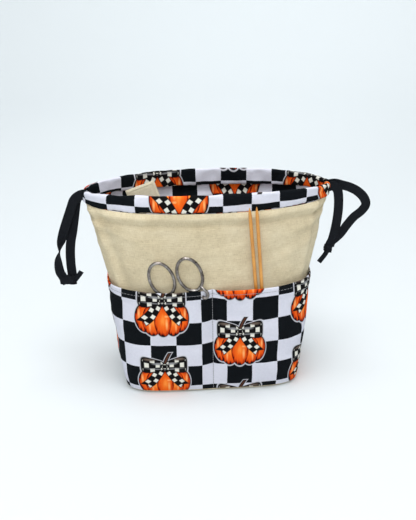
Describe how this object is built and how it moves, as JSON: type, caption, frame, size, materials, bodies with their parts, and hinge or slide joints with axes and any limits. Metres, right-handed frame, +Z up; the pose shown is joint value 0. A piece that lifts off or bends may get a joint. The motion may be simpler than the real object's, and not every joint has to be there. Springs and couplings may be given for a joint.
{
  "type": "knitting bag",
  "caption": "Round-mouthed cloth drawstring bag with sewn outside pockets, a checked lining and casing, tape pulls with knotted ends, small scissors, needles and a needle sleeve.",
  "frame": {"origin": "middle of the base, on the surface the bag stands on", "axes": "+Z up, -Y towards the bag's front, +X to the right along the wide way of the mouth"},
  "size_m": [0.3121, 0.1146, 0.2038],
  "materials": {
    "canvas": "natural woven canvas",
    "printed_cotton": "checked quilting cotton",
    "tape": "flat woven tape",
    "steel": "polished",
    "bamboo": "varnished",
    "thread": "sewing thread",
    "stiffener": "plain sheet"
  },
  "bodies": {
    "bag": {"base_panel": "canvas", "base_board": "stiffener", "lining_base": "printed_cotton", "canvas_front": "canvas", "canvas_back": "canvas", "lining_front": "printed_cotton", "lining_back": "printed_cotton", "pocket_band_front": "printed_cotton", "pocket_band_back": "printed_cotton", "divider_stitch_front": "thread", "divider_stitch_back": "thread", "casing_front_left": "printed_cotton", "casing_front_right": "printed_cotton", "casing_back_left": "printed_cotton", "casing_back_right": "printed_cotton", "left_string_near_front": "tape", "left_string_near_back": "tape", "left_string_bend": "tape", "right_string_near_front": "tape", "right_string_near_back": "tape", "right_string_bend": "tape"},
    "mouth_front": {"mouth_canvas_front": "canvas", "mouth_lining_front": "printed_cotton", "mouth_casing_front": "printed_cotton", "mouth_left_string_front": "tape", "mouth_right_string_front": "tape"},
    "mouth_back": {"mouth_canvas_back": "canvas", "mouth_lining_back": "printed_cotton", "mouth_casing_back": "printed_cotton", "mouth_left_string_back": "tape", "mouth_right_string_back": "tape"},
    "drawstring_left": {"left_strand_front": "tape", "left_strand_back": "tape", "left_knot": "tape", "left_tail": "tape"},
    "drawstring_right": {"right_strand_front": "tape", "right_strand_back": "tape", "right_knot": "tape", "right_tail": "tape"},
    "scissors": {"scissors_half_right": "steel", "scissors_pivot": "steel"},
    "scissors_left": {"scissors_half_left": "steel"},
    "needle_left": {"needle_left": "bamboo"},
    "needle_right": {"needle_right": "bamboo"},
    "needle_sleeve": {"needle_sleeve": "canvas"}
  },
  "joints": [
    {"name": "mouth_front_fold", "type": "hinge", "parent": "bag", "child": "mouth_front", "pos_m": [0, -0.0495, 0.1135], "axis": [-1, 0, 0], "range_deg": [0, 22]},
    {"name": "mouth_back_fold", "type": "hinge", "parent": "bag", "child": "mouth_back", "pos_m": [0, 0.0495, 0.1135], "axis": [1, 0, 0], "range_deg": [0, 22]},
    {"name": "drawstring_left_pull", "type": "slide", "parent": "bag", "child": "drawstring_left", "axis": [-1, 0, 0], "range_m": [0, 0.0282]},
    {"name": "drawstring_right_pull", "type": "slide", "parent": "bag", "child": "drawstring_right", "axis": [1, 0, 0], "range_m": [0, 0.0282]},
    {"name": "scissors_slide", "type": "slide", "parent": "bag", "child": "scissors", "axis": [-0.1575, -0.0162, 0.9874], "range_m": [0, 0.08]},
    {"name": "scissors_hinge", "type": "hinge", "parent": "scissors", "child": "scissors_left", "pos_m": [-0.0268, -0.0519, 0.0827], "axis": [-0.0485, -0.9985, -0.0241], "range_deg": [0, 6.5]},
    {"name": "needle_left_slide", "type": "slide", "parent": "bag", "child": "needle_left", "axis": [-0.0831, -0.0101, 0.9965], "range_m": [0, 0.1]},
    {"name": "needle_right_slide", "type": "slide", "parent": "bag", "child": "needle_right", "axis": [-0.0708, -0.0112, 0.9974], "range_m": [0, 0.1]},
    {"name": "sleeve_slide", "type": "slide", "parent": "bag", "child": "needle_sleeve", "axis": [-0.3256, 0, 0.9455], "range_m": [0, 0.15]}
  ],
  "couplings": [
    {"joint": "mouth_back_fold", "follows": "mouth_front_fold", "ratio": 1},
    {"joint": "drawstring_left_pull", "follows": "mouth_front_fold", "m_per_rad": 0.0729},
    {"joint": "drawstring_right_pull", "follows": "mouth_front_fold", "m_per_rad": 0.0729}
  ]
}
